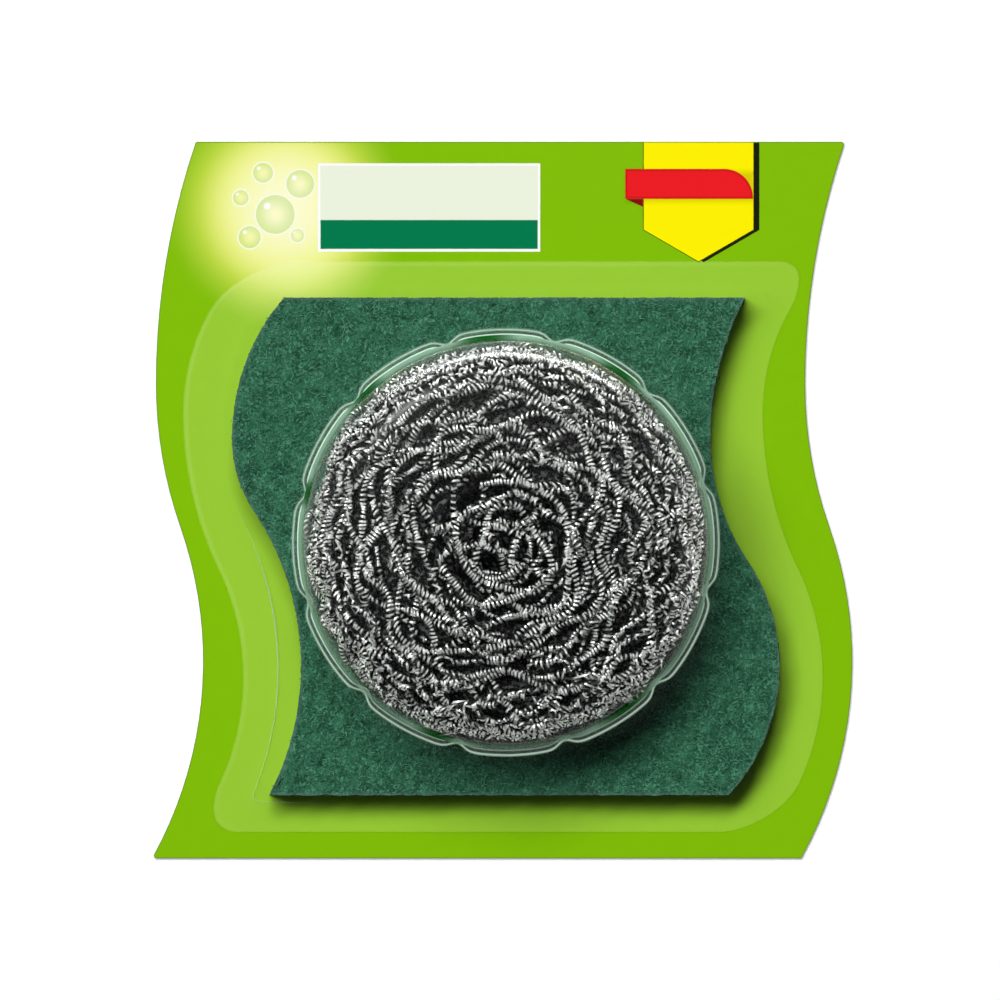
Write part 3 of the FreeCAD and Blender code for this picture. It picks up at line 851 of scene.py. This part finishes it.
# Blister: one clear sheet with a flange, a shallow pocket and a fluted dome
blister = {"sheet": 0.3, "gap": 2.3, "columns": 600, "flutes": 12, "fluteWidth": 1.75, "fluteDepth": 1.2,
           "fluteAngle": math.radians(16.5), "footFillet": 0.4, "ledgeRise": 1.2, "ledgeWidth": 0.8,
           "ledgeFade": 13.0, "ledgeRound": 0.3, "bevel": 0.8, "pocketFillet": 0.4, "pocketCorner": 1.8,
           "pocket": waveOf(0.3, -8.35, 90.8, 91.4, 9.6, 19.9, -21.6, 50, 58), "lift": 0.03,
           "padGap": 0.3, "greens": ((56, 15), (96, 18), (133, 14), (166, 9), (250, 13), (306, 20)),
           "greenShare": 0.7, "mist": 0.22, "farMist": 0.28, "veilFrom": 42, "veilSpan": 18, "gloss": 0.62,
           "farGloss": 0.38, "shine": 3.5, "shineSlope": 48, "shineSpread": 5, "pocketGloss": 0.1,
           "bendTurn": math.radians(75), "innerHighlight": 0.95, "innerDrop": 0.55, "outerHighlight": 0.5,
           "outerGain": 0.45, "ledgeHighlight": 0.06, "pocketLine": 204, "pocketSpread": 24}
landTop = padHigh[2] + blister["padGap"] + blister["sheet"]
flangeTop = cardHigh[2] + blister["sheet"]


def wallRadius(offset, height):
    # radius of the moved wall at a height
    radius, rise, _ = hiveSection(offset, np.linspace(-25, 0, 60))
    return float(np.interp(height, rise, radius))


def fluteBite(angle):
    # 0 to 1, a soft bell across each upright flute of the dome's wall
    reach = wallRadius(blister["gap"] + blister["sheet"], landTop)
    step = 2 * math.pi / blister["flutes"]
    aside = (angle - blister["fluteAngle"] + step / 2) % step - step / 2
    off = np.abs(reach * np.sin(aside))
    return np.exp(-(off / blister["fluteWidth"]) ** 2)


def quarter(start, end):
    # cosine and sine of five angles from start to end, in degrees
    angle = np.radians(np.linspace(start, end, 5))
    return zip(np.cos(angle), np.sin(angle))


def sheetSkin(thin):
    # one face of the sheet as rings round the dome's axis, from the apex out to the flange's rim: thin is 0
    # for the outer face and the sheet's thickness for the inner one; each ring has a painted highlight
    # share, a green share, partly painted reflection, and a gloss
    angle = np.linspace(0, 2 * math.pi, blister["columns"], endpoint=False)
    offset = blister["gap"] + blister["sheet"] - thin
    land = landTop - thin
    ledge = land + blister["ledgeRise"]
    bite = fluteBite(angle)
    deepest = wallRadius(offset, landTop) - blister["fluteDepth"]
    rows = []

    def ring(reach, height, bendHighlight=0.0, green=0.0, gloss=1.0):
        rows.append([np.broadcast_to(value, angle.shape) for value in (reach, height, bendHighlight, green, gloss)])

    def fluted(radius):
        # the flutes' bottoms stand upright, so they run out where the wall leans in to them
        return radius - max(radius - deepest, 0) * bite

    # misty wall, less so at the near side, with greener stretches: the sheet's edge tint, made stronger at
    # the far side and in the stretches, which are painted reflections of green
    green = blister["mist"] + blister["farMist"] * np.clip(np.sin(angle) + 0.6, 0, 0.7)
    for middle, width in blister["greens"]:
        turn = (np.degrees(angle) - middle + 180) % 360 - 180
        green = np.maximum(green, blister["greenShare"] * np.exp(-(turn / width) ** 2))
    # crown and shoulder, glossier towards the far side, with the mirror share raised in a band on the far
    # shoulder: a painted highlight that strengthens the top strip's reflection there
    gloss = blister["gloss"] + blister["farGloss"] * np.sin(angle)
    farSide = np.clip(np.sin(angle), 0, 1)
    span = (hive["shoulder"] + offset) * (crownAngle - hive["draft"])
    top = hiveEnd(offset, 0.8)
    place = np.concatenate([np.linspace(top, span, 14)[:-1], np.linspace(span, 0, 24)])
    for reach, rise, slope in zip(*hiveSection(offset, place)):
        tilt = math.degrees(slope)
        veil = np.clip((blister["veilFrom"] - tilt) / blister["veilSpan"], 0, 1)
        shine = np.exp(-((tilt - blister["shineSlope"]) / blister["shineSpread"]) ** 2) * farSide
        ring(fluted(reach), rise, 0.0, green * veil, gloss + blister["shine"] * shine)
    # wall down to the ledge, drawn in a little above it
    for rise in np.linspace(rows[-1][1][0], ledge + blister["ledgeRound"], 11)[1:]:
        fade = np.clip(1 - (rise - ledge) / blister["ledgeFade"], 0, 1)
        draw = blister["ledgeWidth"] * fade * fade * (3 - 2 * fade)
        ring(fluted(wallRadius(offset, rise)) - draw, rise, 0.0, green, gloss)
    # ledge: painted highlights on a bright inner bend and a softer outer one, the other way round at the
    # lower right
    lowRight = np.clip(np.cos(angle + blister["bendTurn"]), 0, 1)
    innerHighlight = blister["innerHighlight"] - blister["innerDrop"] * lowRight
    outerHighlight = blister["outerHighlight"] + blister["outerGain"] * lowRight
    ledgeHighlight = blister["ledgeHighlight"]
    foot = fluted(wallRadius(offset, land))
    inner = rows[-1][0]
    ring(inner + 0.03, ledge + 0.14, innerHighlight)
    ring(inner + 0.2, ledge + 0.03, innerHighlight)
    ring(inner + 0.27, ledge, ledgeHighlight, green * 0.5)
    ring(foot - 0.24, ledge - 0.02, ledgeHighlight, green * 0.3)
    ring(foot - 0.12, ledge - 0.06, outerHighlight * 0.8)
    ring(foot, ledge - 0.2, outerHighlight)
    # foot fillet, carrying the outer bend's painted highlight
    fillet = blister["footFillet"] + thin
    for share, (c, s) in zip((1, 1, 0.8, 0.4, 0), quarter(0, 90)):
        ring(foot + fillet - fillet * c, land + fillet - fillet * s, outerHighlight * share)
    # land out to the pocket's edge
    bevel = blister["bevel"] + (blister["sheet"] - thin) * (2 - math.sqrt(2))
    edge = waveReach(angle, blister["pocket"], blister["pocketCorner"]) + blister["sheet"] - thin
    start = foot + fillet
    for share in (0.25, 0.5, 0.75, 0.98):
        ring(start + (edge - bevel - start) * share, land)
    dull = blister["pocketGloss"]
    for c, s in quarter(90, 0):
        ring(edge - bevel + bevel * c, land - bevel + bevel * s, gloss=dull)
    # pocket wall and the fillet at its foot, with a painted highlight on the bend at the lower left only
    fillet = blister["pocketFillet"] + thin
    bottom = flangeTop - max(thin - blister["lift"], 0)
    for share in (0.25, 0.5, 0.75):
        ring(edge, land - bevel + (bottom + fillet - land + bevel) * share, gloss=dull)
    lowerLeft = np.exp(-((np.degrees(angle) - blister["pocketLine"]) / blister["pocketSpread"]) ** 4)
    for bendHighlight, (c, s) in zip((0, 0.2, 0.4, 0.2, 0), quarter(0, 90)):
        ring(edge + fillet - fillet * c, bottom + fillet - fillet * s, bendHighlight * lowerLeft, gloss=dull)
    # flange
    rim = waveReach(angle, flange["outline"], flange["corner"])
    start = edge + fillet
    for share in (0.3, 0.6, 0.98):
        ring(start + (rim - start) * share, bottom)
    ring(rim, bottom, gloss=dull)
    reach, rise, bendHighlight, green, gloss = np.array(rows).transpose(1, 0, 2)
    return roundAxis(reach, angle, rise), bendHighlight, green, gloss


outerSkin, outerHighlight, outerGreen, outerGloss = sheetSkin(0.0)
innerSkin, _, _, innerGloss = sheetSkin(blister["sheet"])
skin = np.concatenate([outerSkin, innerSkin[::-1]])
apex = hive["top"] + blister["gap"]
skinPoints = withPoles(skin, apex + blister["sheet"], apex)
clearInside = np.zeros(innerSkin.shape[0] * innerSkin.shape[1] + 1)  # the inner face and its pole
skinHighlight = np.concatenate([[0], outerHighlight.ravel(), clearInside])
skinGreen = np.concatenate([[0], outerGreen.ravel(), clearInside])
skinGloss = np.concatenate([[1], outerGloss.ravel(), innerGloss[::-1].ravel(), [1]])
clear = {"tint": (0.985, 0.995, 0.985, 1.0), "mirror": (0.95, 0.97, 0.95, 1.0), "bendHighlight": srgb(222, 250, 229),
         "mist": srgb(172, 214, 186), "green": srgb(8, 106, 22), "mistTo": 0.48, "greenFrom": 0.72,
         "straight": 0.008, "graze": 0.7, "power": 4, "rough": 0.2, "edgeFrom": 0.5, "edgeFull": 0.86,
         "cloudFull": 0.15, "cloudRough": 0.28, "cloudFacing": (0.0, 0.0, 1.0)}


def clearSheet(place):
    # clear where it is flat, with a mirror's share that grows towards grazing; painted highlights at the
    # bends, and green where the wall is looked at along its thickness, partly painted reflection
    bendHighlight = vertexValue(place, "bendHighlight")
    facing = place.make("ShaderNodeLayerWeight", {}, {"Blend": 0.5}, 1)
    deepGreen = vertexValue(place, "green")
    green = deepGreen * ramp(facing, clear["edgeFrom"], clear["edgeFull"])
    bend = bendHighlight + green
    mirror = clear["straight"] + facing ** clear["power"] * clear["graze"]
    share = mirror * vertexValue(place, "gloss") + bend
    hazeAndHighlight = ramp(bend, 0.0, clear["cloudFull"])
    deep = tint(ramp(deepGreen, clear["mistTo"], clear["greenFrom"]), clear["mist"], clear["green"])
    colour = tint(green / (bend + 0.001), clear["bendHighlight"], deep)
    colour = tint(hazeAndHighlight, clear["mirror"], colour)
    # their normals are turned up, so the haze and the painted highlights on the bends take light from above
    # whichever way the sheet faces
    normal = place.make("ShaderNodeNewGeometry", {}, {}, "Normal")
    scatter = place.make("ShaderNodeMix", {"data_type": "VECTOR"},
                         {0: hazeAndHighlight, 4: normal, 5: clear["cloudFacing"]}, 1)
    scatter = place.make("ShaderNodeVectorMath", {"operation": "NORMALIZE"}, {0: scatter})
    seen = place.make("ShaderNodeBsdfTransparent", {}, {"Color": clear["tint"]})
    gloss = surface(place, colour, clear["rough"] + hazeAndHighlight * clear["cloudRough"],
                    {"Metallic": 1.0, "Normal": scatter})
    return place.make("ShaderNodeMixShader", {}, {0: share.math("MINIMUM", share, 1.0), 1: seen, 2: gloss})


shell = addPiece("blister_sheet", skinPoints, ringFaces(len(skin), blister["columns"]),
                 material("clear_sheet", clearSheet), sharp=50,
                 values={"bendHighlight": skinHighlight, "green": skinGreen, "gloss": skinGloss})
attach(shell, "cover")
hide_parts("blister")
print("blister formed")


# Floor, light and camera
studio = {"floorSize": 6.0, "floorDrop": 0.05, "floor": (0.72, 0.72, 0.72, 1.0), "glow": 0.36,
          "world": 0.04, "sky": 0.95, "skyFrom": 0.1, "skyFull": 0.65, "nearDim": 0.45, "hole": 0.996,
          "holeRim": 0.97, "camera": 3.0, "frameWidth": 0.18, "sensor": 36.0, "farEnd": 20.0, "aimX": -0.74,
          "clearCrossings": 24}
# watts, width, height, azimuth, elevation, distance, and whether it only shows in gloss
lamps = {"key_lamp": (106.0, 2.5, 0.8, 121, 60, 3.0, False),
         "key_glint": (24.0, 0.5, 0.5, 127, 56, 3.0, True),
         "top_strip": (15.0, 2.2, 0.13, 90, 6, 1.3, True),
         "left_strip": (4.0, 1.0, 1.0, 180, 20, 1.3, True),
         "right_strip": (4.0, 1.0, 1.0, 0, 20, 1.3, True)}


def rayIs(place, kind):
    # 1 for rays of a kind, such as Camera or Glossy
    return place.make("ShaderNodeLightPath", {}, {}, "Is " + kind + " Ray")


def floorPaper(place):
    # matt paper that glows a little where it is seen, and lights nothing
    seen = larger(larger(rayIs(place, "Camera"), rayIs(place, "Glossy")), rayIs(place, "Transmission"))
    matte = place.make("ShaderNodeBsdfDiffuse", {}, {"Color": studio["floor"]})
    light = place.make("ShaderNodeEmission", {}, {"Strength": seen * studio["glow"]})
    return place.make("ShaderNodeAddShader", {}, {0: matte, 1: light})


half = studio["floorSize"] / 2 / mm
drop = -studio["floorDrop"]
floorPoints = np.array([[-half, -half, drop], [half, -half, drop], [half, half, drop], [-half, half, drop]])
floorMesh = bpy.data.meshes.new("floor")
floorMesh.from_pydata((floorPoints * mm).tolist(), [], [(0, 1, 2, 3)])
floorMesh.materials.append(material("floor_paper", floorPaper))
floor = bpy.data.objects.new("floor", floorMesh)
bpy.context.scene.collection.objects.link(floor)


def addLamp(name, watts, width, height, azimuth, elevation, distance, onlyGloss):
    # an area lamp that faces the object from an azimuth, counted from +X, and an elevation; one kind lights
    # only matt surfaces, the other only shows in glossy ones
    lamp = bpy.data.lights.new(name, "AREA")
    lamp.energy = watts
    lamp.shape = "RECTANGLE"
    lamp.size = width
    lamp.size_y = height
    made = bpy.data.objects.new(name, lamp)
    bpy.context.scene.collection.objects.link(made)
    turn = math.radians(azimuth)
    lift = math.radians(elevation)
    made.location = (distance * math.cos(lift) * math.cos(turn), distance * math.cos(lift) * math.sin(turn),
                     distance * math.sin(lift))
    made.rotation_euler = (math.pi / 2 - lift, 0, turn + math.pi / 2)
    made.visible_camera = False
    made.visible_diffuse = not onlyGloss
    made.visible_glossy = onlyGloss


for name, values in lamps.items():
    addLamp(name, *values)

# a dim world, with a bright sky that only shows in glossy surfaces: dark straight overhead, dimmer in front
world = bpy.data.worlds.new("studio")
bpy.context.scene.world = world
world.use_nodes = True
way = Wire(world.node_tree.nodes.new("ShaderNodeTexCoord").outputs["Generated"])
height = way.make("ShaderNodeSeparateXYZ", {}, {0: way}, 2)
sky = ramp(height, studio["skyFrom"], studio["skyFull"]) * ramp(height, studio["hole"], studio["holeRim"])
seenDirectly = way.make("ShaderNodeLightPath", {}, {}, "Diffuse Depth") < 0.5
towardsFar = way.make("ShaderNodeSeparateXYZ", {}, {0: way}, 1)
sky = sky * (1 + towardsFar.math("MINIMUM", towardsFar, 0.0) * studio["nearDim"])
sky = sky * rayIs(way, "Glossy") * seenDirectly * studio["sky"]
backdrop = world.node_tree.nodes["Background"]
backdrop.inputs["Color"].default_value = (1.0, 1.0, 1.0, 1.0)
world.node_tree.links.new((sky + studio["world"]).socket, backdrop.inputs["Strength"])

lens = bpy.data.cameras.new("camera")
lens.sensor_width = studio["sensor"]
lens.lens = studio["sensor"] * studio["camera"] / studio["frameWidth"]
lens.clip_end = studio["farEnd"]
camera = bpy.data.objects.new("camera", lens)
camera.location = (studio["aimX"] * mm, 0, studio["camera"] + cardHigh[2] * mm)
bpy.context.scene.collection.objects.link(camera)
bpy.context.scene.camera = camera
bpy.context.scene.view_settings.view_transform = "Standard"
bpy.context.scene.cycles.transparent_max_bounces = studio["clearCrossings"]  # from low down, many layers
print("studio lit")
